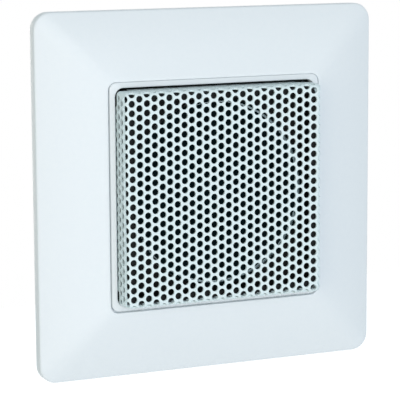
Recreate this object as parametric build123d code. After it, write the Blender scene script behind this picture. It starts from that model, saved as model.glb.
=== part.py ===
from build123d import *

import math
import os

# In-wall speaker for a flush wall box, in millimetres. The pieces are modelled lying on their back:
# z is the height in front of the wall, y is up on the wall, and (0, 0, 0) is the centre of the wall
# box. The last step stands the whole part up, so that its face looks along -Y.

# Wall box and mounting plate
box_screw_spacing = 60.0
screw_slot_width = 4.2
screw_slot_length = 6.0
slot_edge_margin = 2.5
plate_thickness = 1.0
plate_corner_cut = 9.0

# Cover frame
frame_overhang = 4.5
frame_corner_radius = 3.8
frame_rim_height = 2.5
frame_rise = 4.0
frame_bulge = 0.45
frame_rim_wall = 1.8
hollow_corner_cut = 3.0
frame_edge_bevel = 0.4
frame_roof = 2.1
roof_inset = 2.0
opening_side = 50.0
opening_corner_radius = 1.8
ledge_width = 1.0
ledge_corner_cut = 2.0
rib_thickness = 1.2
rib_offset = 16.0
rib_clearance = 0.3

# Adapter ring
ring_gap = 0.2
ring_width = 1.1
ring_proud = 0.5
ring_thickness = 1.7
ring_edge_bevel = 0.25
ring_opening_radius = 1.9
leg_thickness = 0.8
leg_width = 8.0
leg_clearance = 0.3
leg_reach = 1.4
hook_size = 0.7
hook_play = 0.1

# Grille
grille_gap = 0.5
grille_proud = 4.95
grille_sheet = 0.8
fold_radius = 1.2
corner_relief_length = 3.4
corner_relief_height = 0.25
skirt_reach = 2.45
tab_span = 9.0
catch_width = 6.0
catch_height = 1.0
catch_clearance = 0.2
catch_bottom = 0.7
hole_pitch = 4.4
open_share = 0.47

# Speaker housing
flange_edge = 0.2
flange_thickness = 1.4
flange_corner_cut = 1.0
tower_gap = 0.2
tower_height = 3.0
tower_corner_cut = 1.0
rim_wall = 1.2
rim_clearance = 0.25
seat_shelf = 3.2
pot_step = 0.6
pot_wall = 1.5
pot_corner_radius = 5.0
pot_clearance = 0.3
plate_opening_cut = 3.0
pot_chamfer = 1.2
snap_width = 8.0
snap_size = 1.1
snap_length = 2.2
snap_play = 0.05

# Driver basket
driver_margin = 1.6
basket_sheet = 0.7
basket_clearance = 0.5
flange_land = 3.8
edge_height = 0.9
edge_wall = 0.5
foot_land = 4.4
arm_width = 6.0
arm_overlap = 1.0

# Surround, cone, dust cap and spider
roll_width = 3.2
roll_height = 1.6
roll_foot = 0.9
surround_lip = 3.2
lip_thickness = 0.4
cone_rim = 0.8
cone_depth = 5.7
cone_wall = 0.35
cap_overlap = 0.8
cap_height = 2.3
cap_wall = 0.25
spider_cloth = 0.25
spider_foot = 1.2
spider_drop = 0.8
glue_gap = 0.1

# Voice coil and magnet system
former_radius = 6.2
former_wall = 0.15
former_top = 0.3
winding_thickness = 0.3
winding_length = 3.0
coil_gap = 0.3
neck_to_pole = 3.4
pole_thickness = 1.8
magnet_thickness = 4.0
magnet_inset = 0.15
yoke_wall = 1.8
yoke_floor = 1.8
motor_clearance = 2.9

# Driver terminals and leads
terminal_pitch = 5.2
strip_width = 10.0
strip_reach = 3.0
strip_thickness = 0.8
strip_gap = 0.3
tab_width = 8.0
tab_setback = 0.4
lug_width = 2.0
lug_sheet = 0.4
lug_setback = 0.2
lug_tail = 3.0
tinsel_width = 0.6
tinsel_thickness = 0.3
tinsel_rise = 1.6
tinsel_bend = 1.0
tinsel_cone_radius = 10.2

# Terminal block
block_width = 11.0
block_height = 9.0
block_depth = 9.0
block_offset = 1.5
cavity_width = 4.0
cavity_height = 6.0
cavity_depth = 6.5
clamp_play = 0.2
clamp_depth = 5.2
wire_entry_width = 3.0
wire_entry_depth = 3.0
pin_width = 1.0
pin_thickness = 0.8
pin_clearance = 0.2
clamp_screw_radius = 1.5
clamp_screw_recess = 0.6
clamp_screw_slot = 0.6

# Square sizes, from the wall box outwards and from the frame's opening inwards
plate_side = box_screw_spacing + screw_slot_length + 2 * slot_edge_margin
frame_side = plate_side + 2 * frame_overhang
ledge_side = opening_side - 2 * ledge_width
ring_side = opening_side - 2 * ring_gap
ring_opening = ring_side - 2 * ring_width
grille_side = ring_opening - 2 * grille_gap
flange_side = grille_side + 2 * flange_edge
tower_side = grille_side - 2 * (grille_sheet + tower_gap)
pot_side = tower_side - 2 * pot_step
plate_opening = pot_side + 2 * pot_clearance
driver_side = tower_side - 2 * driver_margin

# Heights in front of the wall
frame_edge = frame_rim_height + frame_rise
ring_face = frame_edge + ring_proud
ledge_top = ring_face - ring_thickness
roof_height = frame_edge - frame_roof
grille_face = ring_face + grille_proud
flange_top = plate_thickness + flange_thickness
seat = flange_top + tower_height
driver_face = seat + basket_sheet
neck = driver_face - cone_depth
pole_top = neck - neck_to_pole
magnet_top = pole_top - pole_thickness
magnet_back = magnet_top - magnet_thickness
yoke_back = magnet_back - yoke_floor
pot_floor = yoke_back - motor_clearance
pot_back = pot_floor - pot_wall
foot_face = pole_top + basket_sheet
strip_face = foot_face + strip_thickness
lug_face = strip_face + lug_sheet
lug_end = foot_face - lug_tail

# Radii of the driver's turned pieces
basket_opening = driver_side / 2 - flange_land
cone_radius = basket_opening - roll_width
winding_radius = former_radius + winding_thickness
pole_radius = former_radius - former_wall - coil_gap
yoke_bore = winding_radius + coil_gap
yoke_radius = yoke_bore + yoke_wall
foot_radius = yoke_radius + foot_land

# Places of the terminals, below the driver's centre
strip_inner = -(foot_radius + strip_gap)
strip_outer = strip_inner - strip_reach
pin_place = strip_outer - lug_sheet / 2
block_centre = pin_place + block_offset
poles = [-terminal_pitch / 2, terminal_pitch / 2]

sides = [Rot(0, 0, 90 * turn) for turn in range(4)]
tab_sides = sides[::2]


def slab(side, radius, bottom, top):
    """A square plate with rounded corners between two heights."""
    return Pos(0, 0, bottom) * extrude(RectangleRounded(side, side, radius), top - bottom)


def cut_square(side, corner_cut):
    """A square outline with bevelled corners."""
    return chamfer(Rectangle(side, side).vertices(), corner_cut)


def cut_slab(side, corner_cut, bottom, top):
    """A square plate with bevelled corners between two heights."""
    return Pos(0, 0, bottom) * extrude(cut_square(side, corner_cut), top - bottom)


def box(x_range, y_range, z_range):
    """A box given by its two limits along each axis."""
    size = [high - low for low, high in (x_range, y_range, z_range)]
    centre = [(high + low) / 2 for low, high in (x_range, y_range, z_range)]
    return Pos(*centre) * Box(*size)


def rod(radius, bottom, top):
    """A cylinder on the Z axis between two heights."""
    return Pos(0, 0, bottom) * extrude(Circle(radius), top - bottom)


def turned(*outline):
    """A solid turned about the Z axis from its outline of (radius, height) points."""
    return revolve(Plane.XZ * make_face(Polyline(*outline, close=True)), Axis.Z)


def ridge(width, *outline):
    """A bar along Y, centred, with a section of (x, z) points."""
    return extrude(Plane.XZ * make_face(Polyline(*outline, close=True)), width / 2, both=True)


def frame_section(share):
    """The frame's outline at a share of the way from its bevelled rim (0) to its opening (1)."""
    rim_side = frame_side - 2 * frame_edge_bevel
    rim_radius = frame_corner_radius - frame_edge_bevel
    side = rim_side + share * (opening_side - rim_side)
    radius = rim_radius + share * (opening_corner_radius - rim_radius)
    height = frame_rim_height + frame_rise * share + 4 * frame_bulge * share * (1 - share)
    return Pos(0, 0, height) * RectangleRounded(side, side, radius)


def cover_frame():
    """Moulded frame: straight rim, crowned face, hollow back with ribs, ledge for the ring."""
    wall_height = frame_rim_height - frame_edge_bevel
    wall_top = Pos(0, 0, wall_height) * RectangleRounded(frame_side, frame_side, frame_corner_radius)
    body = slab(frame_side, frame_corner_radius, 0, wall_height)
    body += loft([wall_top, frame_section(0)], ruled=True)
    body += loft([frame_section(share / 3) for share in range(4)])

    inner_side = frame_side - 2 * frame_rim_wall
    roof_side = opening_side + 2 * roof_inset
    eaves = Pos(0, 0, wall_height) * cut_square(inner_side, hollow_corner_cut)
    roof = Pos(0, 0, roof_height) * cut_square(roof_side, hollow_corner_cut)
    hollow = cut_slab(inner_side, hollow_corner_cut, 0, wall_height) + loft([eaves, roof], ruled=True)

    rib_span = (roof_side / 2, frame_side / 2)
    rib_bottom = plate_thickness + rib_clearance
    for side in sides:
        for place in (-rib_offset, rib_offset):
            rib_range = (place - rib_thickness / 2, place + rib_thickness / 2)
            hollow -= side * box(rib_span, rib_range, (rib_bottom, frame_edge))

    body -= hollow
    body -= slab(opening_side, opening_corner_radius, ledge_top, ring_face)
    body -= cut_slab(ledge_side, ledge_corner_cut, 0, ring_face)
    leg_outside = ring_opening / 2 + leg_thickness + leg_clearance
    notch_half = leg_width / 2 + leg_clearance
    for side in sides:
        body -= side * box((0, leg_outside), (-notch_half, notch_half), (roof_height, ledge_top))
    return body


def adapter_ring():
    """Slim ring in the frame's opening, held by hooked legs behind the mounting plate."""
    outer_radius = opening_corner_radius - ring_gap
    ring = slab(ring_side, outer_radius, ledge_top, ring_face)
    ring -= slab(ring_opening, ring_opening_radius, ledge_top, ring_face)
    ring = chamfer(ring.faces().sort_by(Axis.Z)[-1].edges(), ring_edge_bevel)

    inside = ring_opening / 2
    outside = inside + leg_thickness
    leg = ridge(
        leg_width,
        (inside, ledge_top),
        (outside, ledge_top),
        (outside, -hook_play),
        (outside + hook_size, -hook_play),
        (outside + hook_size, -hook_play - hook_size / 2),
        (outside - leg_thickness / 2, -leg_reach),
        (inside, -leg_reach),
    )
    for side in sides:
        ring += side * leg
    return ring


def hole_places(reach):
    """Places of the perforation: columns with every second one half a pitch higher."""
    column_step = hole_pitch * math.sqrt(3) / 2
    columns = int(reach / column_step)
    places = []
    for column in range(-columns, columns + 1):
        shift = hole_pitch / 2 if column % 2 else 0
        rows = int((reach - shift) / hole_pitch)
        first = -rows - (1 if column % 2 else 0)
        places += [Pos(column * column_step, row * hole_pitch + shift) for row in range(first, rows + 1)]
    return places


def grille():
    """Perforated sheet folded to a shallow box, with relieved corners and two snap tabs."""
    inner_side = grille_side - 2 * grille_sheet
    inside = grille_face - grille_sheet
    shell = slab(grille_side, fold_radius, flange_top, grille_face)
    shell = fillet(shell.faces().sort_by(Axis.Z)[-1].edges(), fold_radius)
    shell -= slab(inner_side, fold_radius - grille_sheet, flange_top, inside)

    half = grille_side / 2
    relief = (half - corner_relief_length, half)
    for side in sides:
        shell -= side * box(relief, relief, (flange_top, ring_face + corner_relief_height))

    skirt_bottom = ring_face - skirt_reach
    below = slab(grille_side, fold_radius, flange_top, skirt_bottom)
    window_half = catch_width / 2 + catch_clearance
    window_bottom = flange_top + catch_bottom - catch_clearance
    window_top = flange_top + catch_bottom + catch_height + catch_clearance
    for side in tab_sides:
        below -= side * box((0, half), (-tab_span / 2, tab_span / 2), (flange_top, skirt_bottom))
        shell -= side * box((0, half), (-window_half, window_half), (window_bottom, window_top))
    shell -= below

    apothem = hole_pitch * math.sqrt(open_share) / 2
    hole = RegularPolygon(apothem, 6, major_radius=False)
    holes = Sketch() + [place * hole for place in hole_places(half - fold_radius - apothem)]
    return shell - Pos(0, 0, inside) * extrude(holes, grille_sheet)


def mounting_plate():
    """Pressed steel plate with the wall box slots, the housing's opening and the ring's slots."""
    outline = cut_square(plate_side, plate_corner_cut) - cut_square(plate_opening, plate_opening_cut)
    for end in (-1, 1):
        outline -= Pos(end * box_screw_spacing / 2, 0) * SlotOverall(screw_slot_length, screw_slot_width)
    slot_depth = leg_thickness + 2 * leg_clearance
    slot_width = leg_width + 2 * leg_clearance
    for side in sides:
        outline -= side * Pos((ring_opening + leg_thickness) / 2, 0) * Rectangle(slot_depth, slot_width)
    return extrude(outline, plate_thickness)


def speaker_housing():
    """Moulded cup: flange on the plate, driver seat with a rim inside the grille, closed pot behind."""
    pot = slab(pot_side, pot_corner_radius, pot_back, plate_thickness)
    pot = chamfer(pot.faces().sort_by(Axis.Z)[0].edges(), pot_chamfer)
    body = pot + cut_slab(flange_side, flange_corner_cut, plate_thickness, flange_top)
    rim_top = grille_face - grille_sheet - rim_clearance
    body += cut_slab(tower_side, tower_corner_cut, flange_top, rim_top)
    body -= cut_slab(tower_side - 2 * rim_wall, tower_corner_cut, seat, rim_top)

    wall = pot_side / 2
    snap = ridge(
        snap_width,
        (wall, -snap_play),
        (wall + snap_size, -snap_play),
        (wall + snap_size, -snap_play - snap_size / 2),
        (wall, -snap_length),
    )
    tower = tower_side / 2
    catch_low = flange_top + catch_bottom
    catch = ridge(
        catch_width,
        (tower, catch_low),
        (tower + tower_gap + grille_sheet, catch_low),
        (tower, catch_low + catch_height),
    )
    for side in sides:
        body += side * snap
    for side in tab_sides:
        body += side * catch

    shelf = seat - seat_shelf
    body -= cut_slab(pot_side - 2 * pot_wall, pot_corner_radius - pot_wall, pot_floor, shelf)
    body -= rod(basket_opening + basket_sheet + basket_clearance, shelf, seat)
    slot_half_width = pin_width / 2 + pin_clearance
    slot_half_height = pin_thickness / 2 + pin_clearance
    for pole in poles:
        x_range = (pole - slot_half_width, pole + slot_half_width)
        y_range = (pin_place - slot_half_height, pin_place + slot_half_height)
        body -= box(x_range, y_range, (pot_back, pot_floor))
    return body


def driver_basket():
    """Pressed basket: flange with a turned-up edge, slanted arms, foot on the yoke, tab for the strip."""
    edge_top = driver_face + edge_height
    flange = rod(driver_side / 2, seat, edge_top) - rod(basket_opening, seat, driver_face)
    flange -= rod(driver_side / 2 - edge_wall, driver_face, edge_top)
    foot = rod(foot_radius, pole_top, foot_face) - rod(yoke_bore, pole_top, foot_face)
    arm = ridge(
        arm_width,
        (foot_radius - arm_overlap, pole_top),
        (foot_radius - arm_overlap + basket_sheet, pole_top),
        (basket_opening + basket_sheet, seat),
        (basket_opening + basket_sheet, driver_face),
        (basket_opening, driver_face),
        (foot_radius - arm_overlap, foot_face),
    )
    tab_range = (strip_outer + tab_setback, -foot_radius + basket_sheet)
    tab = box((-tab_width / 2, tab_width / 2), tab_range, (pole_top, foot_face))
    return flange + foot + tab + [Rot(0, 0, 45) * side * arm for side in sides]


def cone_front(radius):
    """Height of the cone's front face at a radius."""
    slope = (cone_depth - cone_wall) / (cone_radius - cone_rim - former_radius)
    return neck + cone_wall + (radius - former_radius) * slope


def cone_back(radius):
    """Height of the cone's back face at a radius."""
    return neck + (radius - former_radius) * cone_depth / (cone_radius - former_radius)


def cone():
    """Paper cone from the glued rim down to the neck round the former."""
    return turned(
        (former_radius, neck),
        (cone_radius, driver_face),
        (cone_radius - cone_rim, driver_face),
        (former_radius, neck + cone_wall),
    )


def surround():
    """Soft roll that joins the cone's rim to the basket, with a lip glued on the flange."""
    roll_inner = cone_radius + roll_width / 4
    roll_outer = basket_opening - roll_width / 4
    return turned(
        (cone_radius - cone_rim, driver_face),
        (roll_inner, driver_face + roll_height),
        (roll_outer, driver_face + roll_height),
        (basket_opening + roll_foot, driver_face + lip_thickness),
        (basket_opening + surround_lip, driver_face + lip_thickness),
        (basket_opening + surround_lip, driver_face),
    )


def dust_cap():
    """Paper cap glued on the front of the cone."""
    foot = former_radius + cap_overlap
    inner_foot = foot - cap_wall
    top = cone_front(foot) + cap_height
    return turned(
        (foot, cone_front(foot)),
        (0, top),
        (0, top - cap_wall),
        (inner_foot, cone_front(inner_foot)),
    )


def voice_coil_former():
    """Thin tube glued into the cone's neck."""
    inner = former_radius - former_wall
    bottom = magnet_top + pole_thickness / 2 - winding_length / 2
    outer = former_radius - glue_gap / 2
    top = neck + cone_wall + former_top
    return turned((inner, bottom), (outer, bottom), (outer, top), (inner, top))


def voice_coil_winding():
    """Copper winding at the lower end of the former, centred on the pole plate."""
    middle = magnet_top + pole_thickness / 2
    low = middle - winding_length / 2
    high = middle + winding_length / 2
    return turned((former_radius, low), (winding_radius, low), (winding_radius, high), (former_radius, high))


def spider():
    """Cupped textile disc that centres the former over the basket's foot."""
    outer = foot_radius - arm_overlap - glue_gap
    step = outer - spider_foot
    inner = former_radius + glue_gap
    top = neck - spider_drop
    return turned(
        (outer, foot_face),
        (outer, foot_face + spider_cloth),
        (inner, top),
        (inner, top - spider_cloth),
        (step, foot_face),
    )


def yoke_cup():
    """Steel cup that leads the magnet's field to the gap."""
    return turned(
        (0, yoke_back),
        (yoke_radius, yoke_back),
        (yoke_radius, pole_top),
        (yoke_bore, pole_top),
        (yoke_bore, magnet_back),
        (0, magnet_back),
    )


def terminal_strip():
    """Phenolic strip riveted on the basket's tab."""
    across = (-strip_width / 2, strip_width / 2)
    return box(across, (strip_outer, strip_inner), (foot_face, strip_face))


def solder_lugs():
    """Two brass lugs bent over the strip's outer edge."""
    inner = strip_inner - lug_setback
    outline = [
        (strip_outer, lug_end),
        (strip_outer, strip_face),
        (inner, strip_face),
        (inner, lug_face),
        (strip_outer - lug_sheet, lug_face),
        (strip_outer - lug_sheet, lug_end),
    ]
    section = Plane.YZ * make_face(Polyline(*outline, close=True))
    lug = extrude(section, lug_width / 2, both=True)
    return Part() + [Pos(pole, 0) * lug for pole in poles]


def tinsel_leads():
    """Two flat braids from the lugs to the back of the cone."""
    start = strip_inner - lug_setback - tinsel_width
    end_height = cone_back(tinsel_cone_radius) - tinsel_thickness
    route = [(0, start, lug_face), (0, start, lug_face + tinsel_rise), (0, -tinsel_cone_radius, end_height)]
    path = FilletPolyline(*route, radius=tinsel_bend)
    section = Plane(path @ 0, x_dir=(1, 0, 0), z_dir=path % 0) * Rectangle(tinsel_width, tinsel_thickness)
    lead = sweep(section, path)
    return Part() + [Pos(pole, 0) * lead for pole in poles]


def wire_entry_range():
    """Heights of the square wire entries, behind the housing."""
    middle = pot_back - wire_entry_depth
    return middle - wire_entry_width / 2, middle + wire_entry_width / 2


def terminal_block():
    """Two-pole block on the housing's back, with wire entries below and screws behind."""
    y_range = (block_centre - block_height / 2, block_centre + block_height / 2)
    block = box((-block_width / 2, block_width / 2), y_range, (pot_back - block_depth, pot_back))
    cavity_y = (block_centre - cavity_height / 2, block_centre + cavity_height / 2)
    entry_z = wire_entry_range()
    access_radius = clamp_screw_radius + clamp_play
    for pole in poles:
        cavity_x = (pole - cavity_width / 2, pole + cavity_width / 2)
        block -= box(cavity_x, cavity_y, (pot_back - cavity_depth, pot_back))
        entry_x = (pole - wire_entry_width / 2, pole + wire_entry_width / 2)
        block -= box(entry_x, (y_range[0], block_centre), entry_z)
        block -= Pos(pole, block_centre) * rod(access_radius, pot_back - block_depth, pot_back)
    return block


def wire_clamps():
    """Two brass clamps, each with a hole for the wire and a pin that reaches its solder lug."""
    half_width = cavity_width / 2 - clamp_play
    half_height = cavity_height / 2 - clamp_play
    y_range = (block_centre - half_height, block_centre + half_height)
    clamp = box((-half_width, half_width), y_range, (pot_back - clamp_depth, pot_back))
    entry_x = (-wire_entry_width / 2, wire_entry_width / 2)
    clamp -= box(entry_x, y_range, wire_entry_range())
    pin_y = (pin_place - pin_thickness / 2, pin_place + pin_thickness / 2)
    clamp += box((-pin_width / 2, pin_width / 2), pin_y, (pot_back, lug_end))
    return Part() + [Pos(pole, 0) * clamp for pole in poles]


def clamp_screws():
    """Two slotted screws that press on the clamps."""
    low = pot_back - block_depth + clamp_screw_recess
    screw = rod(clamp_screw_radius, low, pot_back - clamp_depth)
    slot_half = clamp_screw_slot / 2
    across = (-clamp_screw_radius, clamp_screw_radius)
    screw -= box(across, (-slot_half, slot_half), (low, low + clamp_screw_slot))
    return Part() + [Pos(pole, block_centre) * screw for pole in poles]


pieces = {
    "cover_frame": cover_frame(),
    "adapter_ring": adapter_ring(),
    "grille": grille(),
    "mounting_plate": mounting_plate(),
    "speaker_housing": speaker_housing(),
    "driver_basket": driver_basket(),
    "surround": surround(),
    "cone": cone(),
    "dust_cap": dust_cap(),
    "voice_coil_former": voice_coil_former(),
    "voice_coil_winding": voice_coil_winding(),
    "spider": spider(),
    "yoke_cup": yoke_cup(),
    "magnet": rod(pole_radius - magnet_inset, magnet_back, magnet_top),
    "pole_plate": rod(pole_radius, magnet_top, pole_top),
    "terminal_strip": terminal_strip(),
    "solder_lugs": solder_lugs(),
    "tinsel_leads": tinsel_leads(),
    "terminal_block": terminal_block(),
    "wire_clamps": wire_clamps(),
    "clamp_screws": clamp_screws(),
}

os.makedirs("parts", exist_ok=True)
stand_up = Rot(90, 0, 0)
for name, piece in pieces.items():
    export_step(stand_up * piece, f"parts/{name}.step")
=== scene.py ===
"""Dresses the in-wall speaker: frame, ring, perforated grille, driver, finishes and studio."""

import logging
from dataclasses import dataclass, field
from enum import Enum
from typing import Any

import bmesh
import bpy
import numpy as np
from mathutils import Matrix


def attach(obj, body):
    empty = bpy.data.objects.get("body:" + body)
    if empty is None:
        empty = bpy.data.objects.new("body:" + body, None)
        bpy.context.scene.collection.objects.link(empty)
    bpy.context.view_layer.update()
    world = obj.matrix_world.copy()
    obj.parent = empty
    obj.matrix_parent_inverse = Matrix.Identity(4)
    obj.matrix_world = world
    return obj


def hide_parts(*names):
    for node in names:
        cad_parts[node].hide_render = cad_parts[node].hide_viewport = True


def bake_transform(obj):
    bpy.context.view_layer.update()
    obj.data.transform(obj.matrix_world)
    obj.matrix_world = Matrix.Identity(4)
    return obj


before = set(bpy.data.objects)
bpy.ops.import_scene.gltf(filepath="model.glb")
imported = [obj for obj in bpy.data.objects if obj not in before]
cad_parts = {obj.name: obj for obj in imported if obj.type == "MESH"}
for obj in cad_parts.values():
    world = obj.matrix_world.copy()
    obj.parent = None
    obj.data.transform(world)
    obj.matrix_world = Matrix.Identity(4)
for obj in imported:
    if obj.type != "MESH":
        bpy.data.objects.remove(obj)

log = logging.getLogger("in_wall_speaker")

Array = np.ndarray
Piece = bpy.types.Object
Tree = bpy.types.NodeTree
Socket = bpy.types.NodeSocket
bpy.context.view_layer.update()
MM = 0.001
# Points closer than this, in metres, are welded.
WELD = 1e-7
# A length below this, in mm, counts as nothing, so that it never divides.
TINY = 1e-9
# Points along a small rounded edge.
EDGE_POINTS = 6
# Angles in degrees below which an edge is shaded smooth, on stiff pieces and on thin soft ones.
STIFF_EDGE = 35.0
SOFT_EDGE = 50.0
# Roughness in a pattern's low and high places, as shares of the finish's own.
LOW_PLACES = 1.04
HIGH_PLACES = 0.98


def stand_up(points: Array) -> Array:
    """Turns bench points into the shared frame.

    On the bench the part lies on its back: x to the right, y up on the wall, z the height in
    front of the wall, in millimetres. On the wall that height is minus Y and y is Z, in metres.

    Args:
        points: Bench points, with x, y and height on the last axis.

    Returns:
        The same points in metres in the shared frame.
    """
    return np.stack([points[..., 0], -points[..., 2], points[..., 1]], -1) * MM


def linear(hex_colour: str) -> tuple[float, float, float, float]:
    """Turns an sRGB hex colour into linear light.

    Args:
        hex_colour: Colour such as "#e9f1f3".

    Returns:
        Red, green, blue and an alpha of 1, in linear light.
    """
    srgb = np.array([int(hex_colour[i:i + 2], 16) for i in (1, 3, 5)]) / 255
    light = np.where(srgb <= 0.04045, srgb / 12.92, ((srgb + 0.055) / 1.055) ** 2.4)
    return (*light.tolist(), 1.0)


def add_node(tree: Tree, kind: str, inputs: dict[str | int, Any] | None = None,
             **settings: Any) -> bpy.types.Node:
    """Adds one node with its settings, values and links.

    Args:
        tree: Node tree that gets the node.
        kind: Blender's type name of the node.
        inputs: Socket name or number to a value, or to the output socket that feeds it.
        **settings: Properties of the node itself.

    Returns:
        The new node.
    """
    node = tree.nodes.new(kind)
    for name, value in settings.items():
        setattr(node, name, value)
    for key, value in (inputs or {}).items():
        if isinstance(value, Socket):
            tree.links.new(value, node.inputs[key])
        else:
            node.inputs[key].default_value = value
    return node


def empty_tree(owner: bpy.types.Material | bpy.types.World) -> Tree:
    """Switches a material's or world's nodes on and takes away the ones it comes with.

    Args:
        owner: The material or world.

    Returns:
        Its node tree, empty.
    """
    owner.use_nodes = True
    owner.node_tree.nodes.clear()
    return owner.node_tree


def add_object(name: str, data: bpy.types.ID) -> Piece:
    """Puts a mesh, camera or lamp into the scene.

    Args:
        name: Name of the new object.
        data: What it holds.

    Returns:
        The new object, at the origin.
    """
    made = bpy.data.objects.new(name, data)
    bpy.context.scene.collection.objects.link(made)
    return made


def quarter_turns(points: Array) -> Array:
    """Repeats bench points on the four sides, each turned 90 degrees on from the last.

    Args:
        points: Bench points of the right-hand side, with x and y first on the last axis.

    Returns:
        The points of the four sides, with the side on a new first axis.
    """
    x, y, rest = points[..., 0], points[..., 1], points[..., 2:]
    plan = np.stack([np.stack(pair, -1) for pair in ((x, y), (-y, x), (-x, -y), (y, -x))])
    return np.concatenate([plan, np.broadcast_to(rest, (4, *rest.shape))], -1)


def rounded_squares(rows: Array, steps: int = 12, corner_steps: int = 10) -> Array:
    """Carries a profile round squares with rounded corners.

    Each profile point has its own half side, corner radius and height. Its loop runs up the
    right-hand side in even steps, then round the corner by equal angles, and so on four times.

    Args:
        rows: Half side, corner radius and height of each profile point.
        steps: Steps along each straight side.
        corner_steps: Steps round each corner.

    Returns:
        Bench points, one row for each profile point and one column for each step of the loop.
    """
    half, radius, height = (rows[:, i, None] for i in range(3))
    flat = half - radius
    along = np.linspace(-1, 1, steps + 1)[None, :]
    turn = np.linspace(0, np.pi / 2, corner_steps + 1)[None, 1:-1]
    x = np.concatenate([half + 0 * along, flat + radius * np.cos(turn)], 1)
    y = np.concatenate([flat * along, flat + radius * np.sin(turn)], 1)
    sides = quarter_turns(np.stack([x, y, height + 0 * x], -1))
    return np.concatenate(list(sides), 1)


@dataclass
class Skin:
    """Gathers the surface patches of one piece and makes them one mesh.

    Attributes:
        points: Bench points of each patch.
        corners: Point numbers of the faces' corners, face after face.
        sizes: Number of corners of each face.
        count: Points so far.
    """

    points: list[Array] = field(default_factory=list)
    corners: list[Array] = field(default_factory=list)
    sizes: list[Array] = field(default_factory=list)
    count: int = 0

    def add_grid(self, points: Array, wrap_rows: bool = False, wrap_columns: bool = False) -> Array:
        """Adds grids of points as four-cornered faces.

        A face's outside is where the way along its row, crossed with the way to the next row,
        points, so a closed profile runs anticlockwise in the plane of outward distance and height.

        Args:
            points: Bench points with rows and columns before the last axis. Axes before
                those repeat the grid.
            wrap_rows: Joins the last row to the first.
            wrap_columns: Joins the last column to the first.

        Returns:
            The point numbers, in the shape of the grids.
        """
        rows, columns = points.shape[-3:-1]
        numbers = self.count + np.arange(points[..., 0].size).reshape(-1, rows, columns)
        ahead = np.roll(numbers, -1, axis=1)
        beside, across = np.roll(numbers, -1, axis=2), np.roll(ahead, -1, axis=2)
        quads = np.stack([numbers, beside, across, ahead], -1)
        quads = quads[:, :rows if wrap_rows else rows - 1, :columns if wrap_columns else columns - 1]
        self.points.append(points.reshape(-1, 3))
        self.count += numbers.size
        self.add_faces(quads.reshape(-1, 4))
        return numbers

    def add_faces(self, faces: Array) -> None:
        """Adds faces that all have the same number of corners."""
        self.corners.append(faces.ravel())
        self.sizes.append(np.full(len(faces), faces.shape[1]))

    def add_prisms(self, outline: Array, spans: Array, sides: slice = slice(None),
                   shift: float = 0.0) -> None:
        """Adds prisms that stand across the sides, closed at both ends.

        Args:
            outline: Outward distance and height round the section, anticlockwise.
            spans: First and last place along the side of each prism.
            sides: Which of the four sides get them, counted from the right-hand one.
            shift: How far to the right they are all moved.
        """
        ends = np.broadcast_to(spans[:, None, :], (len(spans), len(outline), 2))
        section = np.broadcast_to(outline[None, :, None, :], (len(spans), len(outline), 2, 2))
        blocks = np.stack([section[..., 0], ends, section[..., 1]], -1)
        numbers = self.add_grid(quarter_turns(blocks)[sides] + [shift, 0, 0], wrap_rows=True)
        self.add_faces(numbers[:, :, 0])
        self.add_faces(numbers[:, ::-1, 1])

    def piece(self, name: str, smooth_below: float = STIFF_EDGE) -> Piece:
        """Makes the patches one welded mesh object at the origin.

        Args:
            name: Name of the piece.
            smooth_below: Angle in degrees below which an edge is shaded smooth.

        Returns:
            The new object.
        """
        points = stand_up(np.concatenate(self.points))
        corners, sizes = np.concatenate(self.corners), np.concatenate(self.sizes)
        mesh = bpy.data.meshes.new(name)
        mesh.vertices.add(len(points))
        mesh.vertices.foreach_set("co", points.ravel())
        mesh.loops.add(len(corners))
        mesh.loops.foreach_set("vertex_index", corners)
        mesh.polygons.add(len(sizes))
        mesh.polygons.foreach_set("loop_start", np.cumsum(sizes) - sizes)
        mesh.update(calc_edges=True)
        weld = bmesh.new()
        weld.from_mesh(mesh)
        bmesh.ops.remove_doubles(weld, verts=weld.verts, dist=WELD)
        weld.to_mesh(mesh)
        weld.free()
        mesh.polygons.foreach_set("use_smooth", np.ones(len(mesh.polygons), dtype=bool))
        mesh.set_sharp_from_angle(angle=np.radians(smooth_below))
        return add_object(name, mesh)


def spun_shell(name: str, radius: Array, height: Array, wall: float, steps: int = 96) -> Piece:
    """Makes a thin turned piece: a profile line with a wall, spun round the driver's axis.

    The lower face is the upper one moved down by the wall, so the closed outline runs inwards
    along the upper face and back out along the lower one.

    Args:
        name: Name of the piece.
        radius: Radius along the upper face, from the outer edge inwards.
        height: Height along the upper face.
        wall: Wall thickness along the axis.
        steps: Steps round the axis.

    Returns:
        The new piece.
    """
    spin = np.linspace(0, 2 * np.pi, steps, endpoint=False)[None, :]
    reach = np.concatenate([radius, radius[::-1]])[:, None]
    level = np.concatenate([height, height[::-1] - wall])[:, None]
    skin = Skin()
    rings = np.stack([reach * np.cos(spin), reach * np.sin(spin), level + 0 * spin], -1)
    skin.add_grid(rings, wrap_rows=True, wrap_columns=True)
    return skin.piece(name, SOFT_EDGE)


class Relief(Enum):
    """How a surface was made, which sets the pattern that shows on it."""

    GRAIN = "fine moulded grain"
    PEEL = "soft ripple of a sprayed or powder coat"
    CLOUDS = "cloudy bloom of a plating"
    LINES = "lines left by rolling or drawing"
    TURNS = "turns of wire side by side"
    FIBRES = "matted fibres"
    WEAVE = "plain weave"


# Fineness and swirl of the patterns that are noise.
NOISE: dict[Relief, dict[str, float]] = {
    Relief.GRAIN: {"Detail": 4.0},
    Relief.PEEL: {"Detail": 1.0},
    Relief.LINES: {"Detail": 3.0},
    Relief.FIBRES: {"Detail": 6.0, "Distortion": 2.5},
}
# Lines are noise that is drawn out 25 times along X.
DRAWN_OUT = (0.04, 1.0, 1.0)


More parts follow.
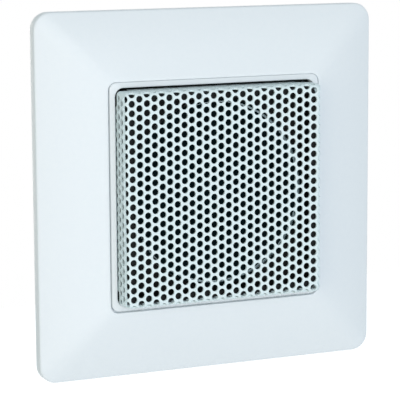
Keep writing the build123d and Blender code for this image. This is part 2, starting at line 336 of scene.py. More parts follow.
@dataclass(frozen=True)
class Finish:
    """One real material and how its surface was made.

    Attributes:
        name: The material's common name.
        colour: Main colour, sRGB hex.
        shade: Colour in the pattern's low places, sRGB hex.
        relief: What made the surface.
        spacing: Size of the pattern, mm.
        depth: Height of the pattern, mm.
        roughness: Roughness of the surface.
        metallic: 1 for bare metal.
        ior: Index of refraction of what is not metal.
    """

    name: str
    colour: str
    shade: str
    relief: Relief
    spacing: float
    depth: float
    roughness: float
    metallic: float = 0.0
    ior: float = 1.5

    def pattern(self, tree: Tree) -> Socket:
        """Adds the nodes of the pattern, in Object coordinates.

        Noise and cells repeat about once in one unit of their scaled coordinate. A wave node
        has twenty radians to the unit, so one wave of the spacing takes a scale of pi / 10.

        Args:
            tree: Node tree of the material.

        Returns:
            The pattern as a number from 0 to 1.
        """
        place = add_node(tree, "ShaderNodeTexCoord").outputs["Object"]
        per_metre = 1 / (self.spacing * MM)
        if self.relief is Relief.CLOUDS:
            cells = {"Vector": place, "Scale": per_metre, "Randomness": 1.0}
            return add_node(tree, "ShaderNodeTexVoronoi", cells, feature="SMOOTH_F1").outputs["Distance"]
        if self.relief in (Relief.TURNS, Relief.WEAVE):
            wave = {"Vector": place, "Scale": np.pi / 10 * per_metre}
            ways = "Y" if self.relief is Relief.TURNS else "XZ"
            bands = [add_node(tree, "ShaderNodeTexWave", wave, bands_direction=way).outputs["Fac"]
                     for way in ways]
            if len(bands) == 1:
                return bands[0]
            threads = dict(enumerate(bands))
            return add_node(tree, "ShaderNodeMath", threads, operation="MAXIMUM").outputs[0]
        if self.relief is Relief.LINES:
            drawn = add_node(tree, "ShaderNodeMapping", {"Vector": place, "Scale": DRAWN_OUT})
            place = drawn.outputs[0]
        noise = {"Vector": place, "Scale": per_metre, **NOISE[self.relief]}
        return add_node(tree, "ShaderNodeTexNoise", noise).outputs["Fac"]

    def material(self) -> bpy.types.Material:
        """Makes the finish as a node material, or finds it if it is there.

        Returns:
            The material, with the pattern on its colour, its roughness and its relief.
        """
        known = bpy.data.materials.get(self.name)
        if known:
            return known
        made = bpy.data.materials.new(self.name)
        tree = empty_tree(made)
        pattern = self.pattern(tree)
        # A mix node takes its two colours at 6 and 7 and gives the mixed one at 2.
        tint = add_node(tree, "ShaderNodeMix", {
            0: pattern, 6: linear(self.shade), 7: linear(self.colour)}, data_type="RGBA")
        gloss = add_node(tree, "ShaderNodeMapRange", {
            "Value": pattern,
            "To Min": self.roughness * LOW_PLACES, "To Max": self.roughness * HIGH_PLACES})
        bump = add_node(tree, "ShaderNodeBump", {
            "Height": pattern, "Strength": 1.0, "Distance": self.depth * MM})
        surface = add_node(tree, "ShaderNodeBsdfPrincipled", {
            "Base Color": tint.outputs[2], "Roughness": gloss.outputs[0],
            "Metallic": self.metallic, "Normal": bump.outputs[0]})
        if not self.metallic:
            surface.inputs["IOR"].default_value = self.ior
        add_node(tree, "ShaderNodeOutputMaterial", {"Surface": surface.outputs[0]})
        return made

    def dress(self, piece: Piece) -> None:
        """Puts the finish on a piece or a CAD node."""
        piece.data.materials.clear()
        piece.data.materials.append(self.material())


# Moulded thermoplastic with a satin gloss: even and pale, with a soft highlight on the crown.
MOULDED_WHITE = Finish("white_thermoplastic", "#ebf1f3", "#e7eef1", Relief.GRAIN,
                       spacing=0.9, depth=0.002, roughness=0.34, ior=1.49)
# Powder coat over steel: a touch bluer than the plastic, with a soft ripple. The ripple is drawn
# twice as wide as a web between holes, because a real one, about 0.3 mm, would not show.
POWDER_COAT = Finish("powder_coated_steel", "#e4f2f3", "#dcedef", Relief.PEEL,
                     spacing=1.1, depth=0.004, roughness=0.42)
# Injection moulded ABS, spark-textured: nearly black, with the cool cast of the shade inside the grille
# painted in as a slight blue tint. The texture makes it matt and swallows light, hence the low index of
# refraction.
BLACK_ABS = Finish("black_abs", "#080e10", "#060b0c", Relief.GRAIN,
                   spacing=0.6, depth=0.02, roughness=0.7, ior=1.35)
# Zinc plating with clear passivation: grey metal with pale and dull clouds a few millimetres wide.
ZINC_PLATE = Finish("clear_passivated_zinc", "#8f9396", "#85898d", Relief.CLOUDS,
                    spacing=3.5, depth=0.0007, roughness=0.46, metallic=1.0)
# Bright zinc on the pressed basket, paler than the plate so that its bare edge glints through the holes.
# Its blue-grey tint is painted: it gives those glints the cool cast of the shade behind the grille.
ZINC_WITH_PAINTED_COOL_GLINTS = Finish("zinc_with_painted_cool_glints", "#c1d1d4", "#b3c4c8", Relief.CLOUDS,
                   spacing=3.5, depth=0.002, roughness=0.52, metallic=1.0)
# Foamed rubber: black and matt, with the cool cast of the shade inside the grille painted in as a
# blue-green tint.
# Its fine pores swallow light, so it mirrors almost nothing, and its index of refraction is close to
# that of air.
RUBBER = Finish("foamed_rubber", "#021a1f", "#011418", Relief.GRAIN,
                spacing=0.35, depth=0.02, roughness=0.85, ior=1.2)
# Pressed paper pulp, black, with the cool cast of the shade inside the grille painted in as a blue tint:
# matt, with matted fibres that swallow light as the pores do.
PULP_PAPER = Finish("pressed_pulp_paper", "#021c22", "#01161b", Relief.FIBRES,
                    spacing=0.8, depth=0.03, roughness=0.9, ior=1.2)
# Woven cotton stiffened with phenolic resin: yellow-brown, with its threads showing.
RESIN_CLOTH = Finish("resin_stiffened_cotton", "#b59a5f", "#80683a", Relief.WEAVE,
                     spacing=0.5, depth=0.05, roughness=0.75, ior=1.53)
# Rolled foil: bright, with rolling lines.
FOIL = Finish("rolled_aluminium_foil", "#d9dadb", "#c2c4c6", Relief.LINES,
              spacing=0.2, depth=0.002, roughness=0.3, metallic=1.0)
# Enamelled wire, wound or braided: copper colour under a clear coat. Real turns, 0.12 mm apart,
# are drawn at 0.25 mm, because they would not show.
COPPER_WIRE = Finish("enamelled_copper_wire", "#c9743f", "#8a4421", Relief.TURNS,
                     spacing=0.25, depth=0.05, roughness=0.3, metallic=1.0)
# Nickel plating: warm, bright metal with a faint bloom.
NICKEL = Finish("nickel_plating", "#d2cfc8", "#c4c0b8", Relief.CLOUDS,
                spacing=2.0, depth=0.001, roughness=0.2, metallic=1.0)
# Phenolic paper laminate: brown sheet with fibres under the resin.
LAMINATE = Finish("phenolic_paper_laminate", "#8a5a2b", "#6b421d", Relief.FIBRES,
                  spacing=0.7, depth=0.005, roughness=0.4, ior=1.6)
# Stamped brass: yellow metal with rolling lines.
BRASS = Finish("stamped_brass", "#d3b063", "#b8954c", Relief.LINES,
               spacing=0.3, depth=0.003, roughness=0.3, metallic=1.0)
# Moulded polyamide: mid grey, half matt, with a fine grain.
GREY_POLYAMIDE = Finish("grey_polyamide", "#9da1a3", "#91969a", Relief.GRAIN,
                        spacing=0.5, depth=0.012, roughness=0.5, ior=1.53)


def place_piece(piece: Piece, finish: Finish, node: str, body: str,
                bend: Array | None = None) -> None:
    """Dresses a new piece and puts it in its solid's place.

    Args:
        piece: The new piece.
        finish: Its finish.
        node: CAD node that it stands for, which also gives its material slot.
        body: Body that it moves with.
        bend: For a soft piece, two bench points. A piece that gets them is not attached to the body
        but has its place baked in; the points themselves are not used.
    """
    finish.dress(piece)
    if bend is None:
        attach(piece, body)
    else:
        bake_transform(piece)
    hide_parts(node)
    log.info("%s: %d faces, %s", piece.name, len(piece.data.polygons), finish.name)


@dataclass
class CoverFrame:
    """Moulded square frame with a crowned face, hollow behind, sizes in mm.

    The names half, rim, opening, ledge, roof and inner are half sides of the square, from the
    outer wall inwards over the face and back outwards through the hollow.
    """

    half: float = 40.0
    corner: float = 3.8
    edge_radius: float = 0.5
    rim: float = 39.6
    rim_height: float = 2.5
    opening: float = 25.0
    opening_corner: float = 1.8
    opening_height: float = 6.5
    crown: float = 0.45
    # The face starts a little inside the rim, as a share of its width, clear of the round edge.
    face_start: float = 0.02
    face_points: int = 24
    # The opening's edge is eased by the lip, with a point between at a share of it.
    lip: float = 0.14
    lip_ease: float = 0.3
    ledge: float = 24.0
    ledge_height: float = 5.3
    roof: float = 27.0
    roof_height: float = 4.4
    inner: float = 38.2
    inner_height: float = 2.1
    inner_corner: float = 2.6
    # Ribs in the hollow: places along each side, and how deep they run into the walls.
    rib_places: tuple[float, float] = (-16.0, 16.0)
    rib_thickness: float = 1.2
    rib_bottom: float = 1.3
    rib_bury: float = 0.3

    def face(self, share: Array) -> Array:
        """Works out the crowned face.

        From rim to opening the half side and the corner radius fall evenly. The height rises
        evenly, plus a parabola that is nothing at both ends and the crown at mid width: four
        times the crown, times the share, times what is left of the share.

        Args:
            share: Place on the face, 0 at the rim and 1 at the opening.

        Returns:
            Half side, corner radius and height of each place.
        """
        half = self.rim + (self.opening - self.rim) * share
        rim_corner = self.corner - (self.half - self.rim)
        corner = rim_corner + (self.opening_corner - rim_corner) * share
        rise = (self.opening_height - self.rim_height) * share + 4 * self.crown * share * (1 - share)
        return np.stack([half, corner, self.rim_height + rise], -1)

    def outer_edge(self) -> Array:
        """Rolls a round edge from the upright wall to where it meets the crown's slope.

        The edge is an arc that leaves the wall upright and turns until its tangent has the slope
        with which the face starts. Its centre's height puts that tangent through the rim.

        Returns:
            Half side, corner radius and height along the edge.
        """
        slope = (self.opening_height - self.rim_height + 4 * self.crown) / (self.rim - self.opening)
        turn = np.linspace(0, np.pi / 2 - np.arctan(slope), EDGE_POINTS)
        inset = self.edge_radius * (1 - np.cos(turn))
        centre = self.rim_height - self.edge_radius * np.sqrt(1 + slope ** 2) \
            + slope * (self.rim - self.half + self.edge_radius)
        height = centre + self.edge_radius * np.sin(turn)
        return np.stack([self.half - inset, self.corner - inset, height], -1)

    def moulding(self) -> Piece:
        """Carries the closed section round the square and adds the ribs in the hollow.

        Returns:
            The frame piece.
        """
        edge = self.outer_edge()
        face_end = 1 - self.lip / (self.rim - self.opening)
        face = self.face(np.linspace(self.face_start, face_end, self.face_points))
        ease = self.lip * self.lip_ease
        inside = np.array([
            [self.opening + ease, self.opening_corner, self.opening_height - ease],
            [self.opening, self.opening_corner, self.opening_height - self.lip],
            [self.opening, self.opening_corner, self.ledge_height],
            [self.ledge, self.opening_corner, self.ledge_height],
            [self.ledge, self.opening_corner, self.roof_height],
            [self.roof, self.inner_corner, self.roof_height],
            [self.inner, self.inner_corner, self.inner_height],
            [self.inner, self.inner_corner, 0.0],
            [self.half, self.corner, 0.0]])
        skin = Skin()
        section = np.concatenate([edge, face, inside])
        skin.add_grid(rounded_squares(section), wrap_rows=True, wrap_columns=True)
        wall, roof = self.inner + self.rib_bury, self.roof_height + self.rib_bury
        rib = np.array([[self.roof, self.rib_bottom], [wall, self.rib_bottom],
                        [wall, self.inner_height], [self.roof, roof]])
        half_rib = self.rib_thickness / 2
        spans = np.array(self.rib_places)[:, None] + [-half_rib, half_rib]
        skin.add_prisms(rib, spans)
        return skin.piece("cover_frame_moulding")

    def build(self) -> None:
        """Puts the frame in its solid's place."""
        place_piece(self.moulding(), MOULDED_WHITE, "cover_frame", "wall_unit")


@dataclass
class AdapterRing:
    """Slim moulded ring round the grille, with four hooked legs, sizes in mm.

    Its face slopes down to the frame. It sits a little high in the frame, by the settling, so
    its lower joint is the wider.
    """

    half: float = 24.78
    corner: float = 1.6
    opening: float = 23.62
    opening_corner: float = 1.9
    back: float = 5.3
    front: float = 7.1
    outer_front: float = 6.72
    edge_radius: float = 0.25
    settle: float = 0.19
    leg_inside: float = 23.7
    leg_outside: float = 24.5
    hook: float = 25.2
    hook_top: float = -0.1
    hook_bottom: float = -0.45
    leg_tip: float = -1.4
    leg_half_width: float = 4.0
    leg_bury: float = 0.2

    def moulding(self) -> Piece:
        """Carries a bar with two round front edges round the square and adds the legs.

        Each edge is a quarter circle. A leg is a prism with a hooked section that runs into the
        bar.

        Returns:
            The ring piece.
        """
        turn = np.linspace(0, np.pi / 2, EDGE_POINTS)
        drop = self.edge_radius * (1 - np.sin(turn))
        inset = self.edge_radius * (1 - np.cos(turn))
        outer = np.stack([self.half - inset, self.corner - inset, self.outer_front - drop], -1)
        inner = np.stack([self.opening + inset, self.opening_corner + inset, self.front - drop], -1)
        back = np.array([[self.opening, self.opening_corner, self.back],
                         [self.half, self.corner, self.back]])
        skin = Skin()
        bar = rounded_squares(np.concatenate([outer, inner[::-1], back])) + [0, self.settle, 0]
        skin.add_grid(bar, wrap_rows=True, wrap_columns=True)
        top = self.back + self.leg_bury
        leg = np.array([
            [self.leg_inside, top], [self.leg_inside, self.leg_tip], [self.leg_outside, self.leg_tip],
            [self.hook, self.hook_bottom], [self.hook, self.hook_top],
            [self.leg_outside, self.hook_top], [self.leg_outside, top]])
        skin.add_prisms(leg, np.array([[-self.leg_half_width, self.leg_half_width]]))
        return skin.piece("adapter_ring_moulding")

    def build(self) -> None:
        """Puts the ring in its solid's place."""
        place_piece(self.moulding(), MOULDED_WHITE, "adapter_ring", "wall_unit")


@dataclass
class PerforatedGrille:
    """Steel sheet punched with round holes in staggered rows and folded to a box, sizes in mm.

    The box sits a little to the left of the ring's middle, by its offset.
    """

    side: float = 46.4
    front: float = 11.95
    fold: float = 0.85
    sheet: float = 0.42
    offset: float = -0.2
    skirt_bottom: float = 4.55
    skirt_points: int = 25
    # At its corners the skirt is cut back from here along the side, up to this height.
    relief_start: float = 19.8
    relief_height: float = 7.25
    corner_points: int = 13
    # Holes: the coat rounds off their edge. The columns stand a touch closer than the pitch asks.
    hole: float = 1.51
    coat: float = 0.04
    pitch: float = 2.0
    first_column: float = -2.728
    column_squeeze: float = 0.991
    row_offset: float = -0.2
    # Cells each way from the first, steps round a cell, and the share of the pitch by which a
    # cell's middle may lie off the sheet.
    cells: int = 20
    cell_steps: int = 12
    overhang: float = 0.45
    # A hole's middle may lie this far beyond the flat front both across and up, and its edge this
    # far off the sheet.
    corner_room: float = 0.35
    hole_slack: float = 1e-6
    # Snap tabs, each with a window, and how far they run up into the skirt.
    tab_half: float = 4.5
    tab_bottom: float = 2.4
    tab_bury: float = 0.1
    window_half: float = 3.2
    window_bottom: float = 2.9
    window_top: float = 4.3

    @property
    def flat(self) -> float:
        """Half width of the flat front, up to where the folds start."""
        return self.side / 2 - self.fold

    def reach_at(self, height: float) -> float:
        """Distance along the sheet from the flat front's edge down to a height on the skirt."""
        return self.fold * np.pi / 2 + self.front - self.fold - height

    def bend(self, flat_sheet: Array, depth: Array) -> Array:
        """Folds the flat sheet over the box.

        A point beyond the flat front keeps its distance from the nearest point of it, first
        round the fold and then straight back. Depth runs inwards, square to the sheet. The whole
        box is then moved by its offset.

        Args:
            flat_sheet: Places on the flat sheet, across and up.
            depth: How far each point lies below the sheet's outer face.

        Returns:
            Bench points.
        """
        near = np.clip(flat_sheet, -self.flat, self.flat)
        away = flat_sheet - near
        reach = np.linalg.norm(away, axis=-1)
        heading = away / np.maximum(reach, TINY)[..., None]
        angle = np.minimum(reach / self.fold, np.pi / 2)
        radius = self.fold - depth
        straight = np.maximum(reach - self.fold * np.pi / 2, 0)
        height = self.front - self.fold + radius * np.cos(angle) - straight
        plan = near + heading * (radius * np.sin(angle))[..., None] + [self.offset, 0]
        return np.concatenate([plan, height[..., None]], -1)

    def trim(self, flat_sheet: Array) -> Array:
        """Moves points that lie off the cut sheet onto its edge.

        The blank ends at the skirt's lower edge. At the corners it is cut away further, so a
        point there goes to the nearer side of the cut.

        Args:
            flat_sheet: Places on the flat sheet, across and up.

        Returns:
            The places, none of them off the sheet.
        """
        near = np.clip(flat_sheet, -self.flat, self.flat)
        away = flat_sheet - near
        reach = np.linalg.norm(away, axis=-1)
        along = np.abs(flat_sheet).min(-1)
        skirt_end, relief_end = self.reach_at(self.skirt_bottom), self.reach_at(self.relief_height)
        past_side = along - self.relief_start
        past_relief = reach - relief_end
        cut = (past_side > 0) & (past_relief > 0)
        sideways = cut & (past_side < past_relief)
        limit = np.where(cut & ~sideways, relief_end, skirt_end)
        kept = near + away * np.minimum(1, limit / np.maximum(reach, TINY))[..., None]
        runs_along = np.abs(flat_sheet) <= along[..., None]
        beside = np.where(runs_along, np.sign(flat_sheet) * self.relief_start, kept)
        return np.where(sideways[..., None], beside, kept)

    def cell_centres(self) -> Array:
        """Lays out the staggered grid over the whole blank.

        Columns stand 0.866 of the pitch apart, and every second one is half a pitch higher.

        Returns:
            Centres of the cells, across and up.
        """
        numbers = np.arange(-self.cells, self.cells + 1)
        column, row = (grid.ravel() for grid in np.meshgrid(numbers, numbers))
        across = self.first_column + column * self.pitch * np.sqrt(0.75)
        up = self.row_offset + (row + 0.5 * (column % 2)) * self.pitch
        return np.stack([across, up], -1)

    def punched_box(self) -> Piece:
        """Makes each cell a ring from its hexagonal border to its hole, and folds them all.

        The border's distance from the centre is half the pitch over the cosine of the angle to
        the nearest side's middle. A hole has a straight wall and an edge that the coat rounds
        off. Cells without room for a hole are closed.

        Returns:
            The grille piece.
        """
        spin = np.linspace(0, 2 * np.pi, self.cell_steps, endpoint=False)
        border = self.pitch / 2 / np.cos(np.mod(spin, np.pi / 3) - np.pi / 6)
        heading = np.stack([np.cos(spin), np.sin(spin)], -1)
        centres, squeeze = self.cell_centres(), np.array([self.column_squeeze, 1.0])
        moved = np.linalg.norm(self.trim(centres) - centres, axis=-1)
        centres = centres[moved < self.pitch * self.overhang]
        none = 0 * spin
        radius, edge = none + self.hole / 2, none + self.hole / 2 + self.coat
        rim = (centres[:, None] + heading * edge[:, None]) * squeeze
        whole = np.abs(self.trim(rim) - rim).max((1, 2)) < self.hole_slack
        beyond = np.maximum(np.abs(centres) - self.flat, 0).min(-1)
        punched = whole & (beyond < self.corner_room)
        hole_rows = [(border, 0.0), (edge, 0.0), (radius, self.coat),
                     (radius, self.sheet), (border, self.sheet)]
        closed_rows = [(border, 0.0), (none, 0.0), (none, self.sheet), (border, self.sheet)]
        skin = Skin()
        for chosen, rows in ((centres[punched], hole_rows), (centres[~punched], closed_rows)):
            distance = np.stack([row[0] for row in rows])
            depth = np.array([row[1] for row in rows])[None, :, None]
            spread = chosen[:, None, None] + heading[None, None] * distance[None, :, :, None]
            places = self.trim(spread * squeeze)
            skin.add_grid(self.bend(places, depth + 0 * places[..., 0]), wrap_columns=True)
        self.add_edge(skin)
        self.add_tabs(skin)
        return skin.piece("punched_grille")

    def add_edge(self, skin: Skin) -> None:
        """Closes the sheet's cut edge: along the skirt, up each corner cut and round the corner.

        Args:
            skin: The grille's patches so far.
        """
        end, cut = self.reach_at(self.skirt_bottom), self.reach_at(self.relief_height)
        turn = np.linspace(0, np.pi / 2, self.corner_points)
        skirt = np.linspace(-self.relief_start, self.relief_start, self.skirt_points)
        straight = np.stack([np.full_like(skirt, self.flat + end), skirt], -1)
        corner = np.stack([self.flat + cut * np.cos(turn), self.flat + cut * np.sin(turn)], -1)
        step = np.array([[self.flat + cut, self.relief_start]])
        path = np.concatenate([straight, step, corner, step[:, ::-1]])
        path = np.concatenate(list(quarter_turns(path)))
        depths = np.array([self.sheet, 0.0])[:, None] + 0 * path[None, :, 0]
        skin.add_grid(self.bend(np.stack([path, path]), depths), wrap_columns=True)

    def add_tabs(self, skin: Skin) -> None:
        """Adds a snap tab with a window on the right and the left, as four bars each.

        Args:
            skin: The grille's patches so far.
        """
        outside, inside = self.side / 2, self.side / 2 - self.sheet
        top = self.skirt_bottom + self.tab_bury
        beside = [[-self.tab_half, -self.window_half], [self.window_half, self.tab_half]]
        window = [[-self.window_half, self.window_half]]
        for low, high, spans in ((self.tab_bottom, top, beside),
                                 (self.tab_bottom, self.window_bottom, window),
                                 (self.window_top, top, window)):
            section = np.array([[inside, low], [outside, low], [outside, high], [inside, high]])
            skin.add_prisms(section, np.array(spans), slice(None, None, 2), self.offset)

    def build(self) -> None:
        """Puts the grille in its solid's place."""
        place_piece(self.punched_box(), POWDER_COAT, "grille", "wall_unit")


@dataclass
class Driver:
    """Moving and soft pieces of the small cone driver, sizes in mm.

    Points are counted along a profile or path, and steps round it.
    """

    # Surround: a flat lip outside and inside a roll, in two halves that meet on the roll's crest.
    lip_height: float = 6.4
    surround_outer: float = 19.7
    roll_outer: float = 16.7
    roll_crest: float = 15.2
    roll_inner: float = 13.7
    surround_inner: float = 12.8
    roll_height: float = 1.3
    roll_points: int = 25
    surround_wall: float = 0.3
    # Gasket on the basket's edge.
    gasket_outer: float = 20.62
    gasket_inner: float = 20.06
    gasket_height: float = 7.15
    gasket_wall: float = 0.15
    # Cone, from the rim under the surround's inner lip to the neck on the coil.
    cone_rim: float = 13.2
    rim_height: float = 6.1
    cone_neck: float = 6.2
    neck_height: float = 0.4
    cone_bow: float = 0.18
    cone_points: int = 17
    cone_wall: float = 0.35
    # Dust cap.
    cap_radius: float = 7.0
    cap_foot: float = 1.4
    cap_top: float = 3.7
    cap_points: int = 13
    cap_steps: int = 48
    cap_wall: float = 0.25
    # Spider, whose slope keeps a margin for its ripples above and below.
    spider_outer: float = 11.9
    spider_inner: float = 6.3
    spider_low: float = -2.3
    spider_high: float = -0.4
    spider_margin: float = 0.3
    spider_waves: float = 4.0
    spider_ripple: float = 0.28
    spider_points: int = 65
    spider_wall: float = 0.25
    # Leads: distance from the middle, then y and height where a braid starts, turns and ends.
    lead_side: float = 2.6
    lead_start: tuple[float, float] = (-14.1, -1.1)
    lead_corner: tuple[float, float] = (-14.1, 0.5)
    lead_end: tuple[float, float] = (-9.95, 3.35)
    lead_radius: float = 1.0
    lead_width: float = 0.6
    lead_thickness: float = 0.3
    lead_points: int = 49
    lead_steps: int = 16
    # Share of a braid's slope by which its end point at the cone is moved back towards the corner.
    lead_held: float = 0.15

    def roll_half(self, name: str, outer: float, inner: float) -> Piece:
        """Makes one half of the surround: a flat lip and a quarter of a sine up to the crest.

        Args:
            name: Name of the piece.
            outer: Radius of its outer edge.
            inner: Radius of its inner edge.

        Returns:
            The new piece.
        """
        radius = np.linspace(outer, inner, self.roll_points)
        share = np.clip((self.roll_outer - radius) / (self.roll_outer - self.roll_inner), 0, 1)
        height = self.lip_height + self.roll_height * np.sin(np.pi * share)
        return spun_shell(name, radius, height, self.surround_wall)

    def gasket(self) -> Piece:
        """Makes the thin flat gasket on the basket's edge."""
        radius = np.array([self.gasket_outer, self.gasket_inner])
        return spun_shell("edge_gasket", radius, 0 * radius + self.gasket_height, self.gasket_wall)

    def cone(self) -> Piece:
        """Makes the cone: a straight slope from rim to neck that bows forwards by half a sine.

        Returns:
            The new piece.
        """
        share = np.linspace(0, 1, self.cone_points)
        radius = self.cone_rim + (self.cone_neck - self.cone_rim) * share
        slope = self.rim_height + (self.neck_height - self.rim_height) * share
        height = slope + self.cone_bow * np.sin(np.pi * share)
        return spun_shell("cone_shell", radius, height, self.cone_wall)

    def dust_cap(self) -> Piece:
        """Makes the dust cap: a dome whose height falls with the square of the radius.

        Returns:
            The new piece.
        """
        radius = np.linspace(self.cap_radius, 0, self.cap_points)
        height = self.cap_top - (self.cap_top - self.cap_foot) * (radius / self.cap_radius) ** 2
        return spun_shell("dust_cap_dome", radius, height, self.cap_wall, self.cap_steps)

    def spider(self) -> Piece:
        """Makes the spider: a slope from the coil down to the basket with ripples on it.

        The ripples are a sine of several waves, faded by half a sine so that both edges lie on
        the slope.

        Returns:
            The new piece.
        """
        share = np.linspace(0, 1, self.spider_points)
        radius = self.spider_outer + (self.spider_inner - self.spider_outer) * share
        low = self.spider_low + self.spider_wall + self.spider_margin
        high = self.spider_high - self.spider_margin
        waves = np.sin(2 * np.pi * self.spider_waves * share) * np.sin(np.pi * share)
        height = low + (high - low) * share + self.spider_ripple * waves
        return spun_shell("rippled_spider", radius, height, self.spider_wall)

    def leads(self) -> Piece:
        """Makes the two braids that run from the lugs up to the back of the cone.

        The path starts straight up from the lug, turns at a steady rate along an arc that touches
        both legs, and runs straight on into the cone's wall. An oval section follows it.

        Returns:
            The new piece.
        """
        start, corner, end = np.array([self.lead_start, self.lead_corner, self.lead_end])
        slope = np.arctan2(*(end - corner)[::-1])
        turn = np.pi / 2 - slope
        cut = self.lead_radius * np.tan(turn / 2)
        before = np.linalg.norm(corner - start) - cut
        whole = before + self.lead_radius * turn + np.linalg.norm(end - corner) - cut
        length = np.linspace(0, whole, self.lead_points)
        middles = (length[1:] + length[:-1]) / 2
        heading = np.interp(middles, [before, before + self.lead_radius * turn], [np.pi / 2, slope])
        steps = np.stack([np.cos(heading), np.sin(heading)], -1) * length[1]
        path = start + np.concatenate([np.zeros((1, 2)), np.cumsum(steps, axis=0)])
        facing = np.interp(length, middles, heading)[:, None]
        spin = np.linspace(0, 2 * np.pi, self.lead_steps, endpoint=False)[None, :]
        across = self.lead_width / 2 * np.cos(spin) + 0 * facing
        out = -self.lead_thickness / 2 * np.sin(spin)
        up = path[:, :1] - out * np.sin(facing)
        height = path[:, 1:] + out * np.cos(facing)
        sides = np.array([[-self.lead_side, 0, 0], [self.lead_side, 0, 0]])[:, None, None, :]
        skin = Skin()
        numbers = skin.add_grid(np.stack([across, up, height], -1) + sides, wrap_columns=True)
        skin.add_faces(numbers[:, 0, ::-1])
        skin.add_faces(numbers[:, -1])
        return skin.piece("braided_leads", SOFT_EDGE)

    def build(self) -> None:
        """Builds the pieces and puts each in its solid's place.

        Three soft pieces, the roll's outer half, the spider and the leads, get two bench points each,
        over the height of the roll, over the spider's height and along the leads' slope, and are
        left unattached with their places baked in.
        """
        roll_top = self.lip_height + self.roll_height - self.surround_wall
        roll = np.array([[0, 0, self.lip_height], [0, 0, roll_top]])
        outer_half = self.roll_half("surround_outer_half", self.surround_outer, self.roll_crest)
        place_piece(outer_half, RUBBER, "surround", "wall_unit", roll)
        inner_half = self.roll_half("surround_inner_half", self.roll_crest, self.surround_inner)
        place_piece(inner_half, RUBBER, "surround", "diaphragm")
        place_piece(self.gasket(), RUBBER, "surround", "wall_unit")
        place_piece(self.cone(), PULP_PAPER, "cone", "diaphragm")
        place_piece(self.dust_cap(), PULP_PAPER, "dust_cap", "diaphragm")
        hang = np.array([[0, 0, self.spider_low], [0, 0, self.spider_high]])
        place_piece(self.spider(), RESIN_CLOTH, "spider", "wall_unit", hang)
        slope = np.array([[0, *self.lead_corner], [0, *self.lead_end]])
        slope[1] += (slope[0] - slope[1]) * self.lead_held
        place_piece(self.leads(), COPPER_WIRE, "tinsel_leads", "wall_unit", slope)


@dataclass
class Chassis:
    """The solids that show as they are, with the finish of each."""

    finishes: dict[str, Finish] = field(default_factory=lambda: {
        "mounting_plate": ZINC_PLATE,
        "speaker_housing": BLACK_ABS,
        # The basket's zinc carries a painted cool tint, so that its glints take the cast of the shade.
        "driver_basket": ZINC_WITH_PAINTED_COOL_GLINTS,
        "voice_coil_former": FOIL,
        "voice_coil_winding": COPPER_WIRE,
        "yoke_cup": ZINC_PLATE,
        "magnet": NICKEL,
        "pole_plate": ZINC_PLATE,
        "terminal_strip": LAMINATE,
        "solder_lugs": BRASS,
        "terminal_block": GREY_POLYAMIDE,
        "wire_clamps": BRASS,
        "clamp_screws": ZINC_PLATE,
    })

    def build(self) -> None:
        """Dresses each solid."""
        for node, finish in self.finishes.items():
            finish.dress(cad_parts[node])
            log.info("%s: %s", node, finish.name)


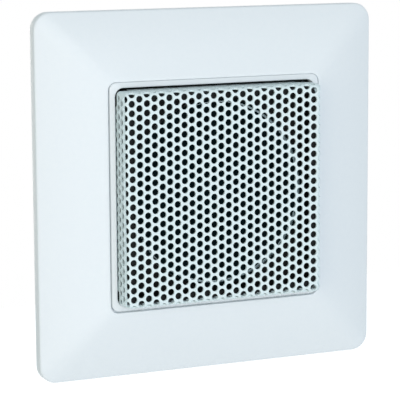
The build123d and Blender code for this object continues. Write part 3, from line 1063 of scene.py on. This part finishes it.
@dataclass
class Studio:
    """Camera, soft lamps, white surroundings and a pale floor.

    Attributes:
        azimuth: Camera's turn from straight in front, degrees, to the left below zero.
        elevation: Camera's height above the level, degrees.
        roll: Camera's tilt, degrees.
        pixels: Focal length in pixels of the square picture.
        picture: Side of the picture, pixels.
        target: Point that the picture is centred on, mm.
        distance: From the target to the camera, mm.
        sensor: Width of the camera's sensor, mm.
        near: Closest distance that the camera sees, mm.
        lamp_distance: From the target to each lamp, mm.
        fill: Strength of the surroundings' own light.
        floor_height: Height of the floor, mm.
        floor_reach: From the floor's middle to its sides, mm.
    """

    azimuth: float = -23.729
    elevation: float = 8.943
    roll: float = -0.354
    pixels: float = 1890.02
    picture: float = 400.0
    target: tuple[float, float, float] = (-1.083, 0.0, -2.640)
    distance: float = 419.44
    sensor: float = 36.0
    near: float = 10.0
    lamp_distance: float = 1000.0
    fill: float = 0.44
    floor_height: float = -700.0
    floor_reach: float = 3000.0

    def aim(self, azimuth: float, elevation: float, distance: float, roll: float = 0.0) -> Matrix:
        """Works out where a camera or lamp stands so that it looks at the target.

        Args:
            azimuth: Turn from straight in front, degrees.
            elevation: Height above the level, degrees.
            distance: From the target, mm.
            roll: Tilt about the line of sight, degrees.

        Returns:
            Its place and turn as a matrix, in metres.
        """
        side, rise, tilt = np.radians([azimuth, elevation, roll])
        back = np.array([np.sin(side) * np.cos(rise), -np.cos(side) * np.cos(rise), np.sin(rise)])
        right = np.cross(-back, [0, 0, 1])
        right /= np.linalg.norm(right)
        up = np.cross(right, -back)
        turned_right = np.cos(tilt) * right + np.sin(tilt) * up
        turned_up = np.cos(tilt) * up - np.sin(tilt) * right
        place = np.eye(4)
        place[:3, :3] = np.stack([turned_right, turned_up, back], -1)
        place[:3, 3] = (np.array(self.target) + back * distance) * MM
        return Matrix(place.tolist())

    def build_camera(self) -> None:
        """Sets up the camera that fits the picture's lines."""
        lens = bpy.data.cameras.new("camera")
        lens.sensor_width = self.sensor
        lens.lens = self.pixels * self.sensor / self.picture
        lens.clip_start = self.near * MM
        camera = add_object("camera", lens)
        camera.matrix_world = self.aim(self.azimuth, self.elevation, self.distance, self.roll)
        bpy.context.scene.camera = camera

    def build_lamp(self, name: str, hex_colour: str, watts: float, size: float, azimuth: float,
                   elevation: float) -> None:
        """Adds a square soft lamp that looks at the part.

        Args:
            name: Name of the lamp.
            hex_colour: Colour of its light.
            watts: Power.
            size: Side of its square, mm.
            azimuth: Turn from straight in front, degrees.
            elevation: Height above the level, degrees.
        """
        light = bpy.data.lights.new(name, "AREA")
        light.color = linear(hex_colour)[:3]
        light.energy = watts
        light.size = size * MM
        add_object(name, light).matrix_world = self.aim(azimuth, elevation, self.lamp_distance)

    def seen(self, tree: Tree) -> Socket:
        """Adds nodes that tell what is looked at from what only lights the part.

        Args:
            tree: Node tree of the surroundings or the floor.

        Returns:
            1 for rays from the camera, off gloss or through glass, and 0 for the others.
        """
        ray = add_node(tree, "ShaderNodeLightPath").outputs
        mirrored = add_node(tree, "ShaderNodeMath", {
            0: ray["Is Glossy Ray"], 1: ray["Is Transmission Ray"]}, operation="MAXIMUM").outputs[0]
        return add_node(tree, "ShaderNodeMath", {
            0: ray["Is Camera Ray"], 1: mirrored}, operation="MAXIMUM").outputs[0]

    def build_world(self) -> None:
        """Makes the surroundings a soft cool fill that looks white to the camera and in gloss."""
        world = bpy.data.worlds.new("studio")
        bpy.context.scene.world = world
        tree = empty_tree(world)
        fill = add_node(tree, "ShaderNodeBackground", {
            "Color": linear("#e2f4fb"), "Strength": self.fill})
        white = add_node(tree, "ShaderNodeBackground", {
            "Color": linear("#ffffff"), "Strength": 1.0})
        both = add_node(tree, "ShaderNodeMixShader", {
            0: self.seen(tree), 1: fill.outputs[0], 2: white.outputs[0]})
        add_node(tree, "ShaderNodeOutputWorld", {"Surface": both.outputs[0]})

    def build_floor(self) -> None:
        """Lays a pale floor that looks white where lit and keeps the part's shadow."""
        made = bpy.data.materials.new("pale_floor_paper")
        tree = empty_tree(made)
        paper = add_node(tree, "ShaderNodeBsdfDiffuse", {"Color": linear("#d8dadb")})
        glow = add_node(tree, "ShaderNodeEmission", {
            "Color": linear("#f2f2f2"), "Strength": self.seen(tree)})
        both = add_node(tree, "ShaderNodeAddShader", {0: paper.outputs[0], 1: glow.outputs[0]})
        add_node(tree, "ShaderNodeOutputMaterial", {"Surface": both.outputs[0]})
        corners = np.array([[-1, -1], [1, -1], [1, 1], [-1, 1]]) * self.floor_reach
        mesh = bpy.data.meshes.new("floor")
        points = np.concatenate([corners, np.full((4, 1), self.floor_height)], -1) * MM
        mesh.from_pydata(points.tolist(), [], [[0, 1, 2, 3]])
        mesh.materials.append(made)
        floor = add_object("floor", mesh)

    def build(self) -> None:
        """Sets up camera, lamps, surroundings and floor."""
        bpy.context.scene.view_settings.view_transform = "Standard"
        self.build_camera()
        self.build_lamp("key_softbox", "#ffefd3", watts=2.12, size=600, azimuth=-50, elevation=4)
        self.build_lamp("front_softbox", "#f8f7ff", watts=6.25, size=1000, azimuth=0, elevation=4)
        self.build_lamp("back_softbox", "#fff6ec", watts=4.8, size=400, azimuth=180, elevation=0)
        self.build_world()
        self.build_floor()
        log.info("studio: camera, three softboxes, white surroundings, pale floor")


def main() -> None:
    """Builds the part from the outside in, then the studio."""
    logging.basicConfig(level=logging.INFO, format="%(message)s")
    makers = (CoverFrame(), AdapterRing(), PerforatedGrille(), Driver(), Chassis(), Studio())
    for maker in makers:
        maker.build()


if __name__ == "__main__":
    main()
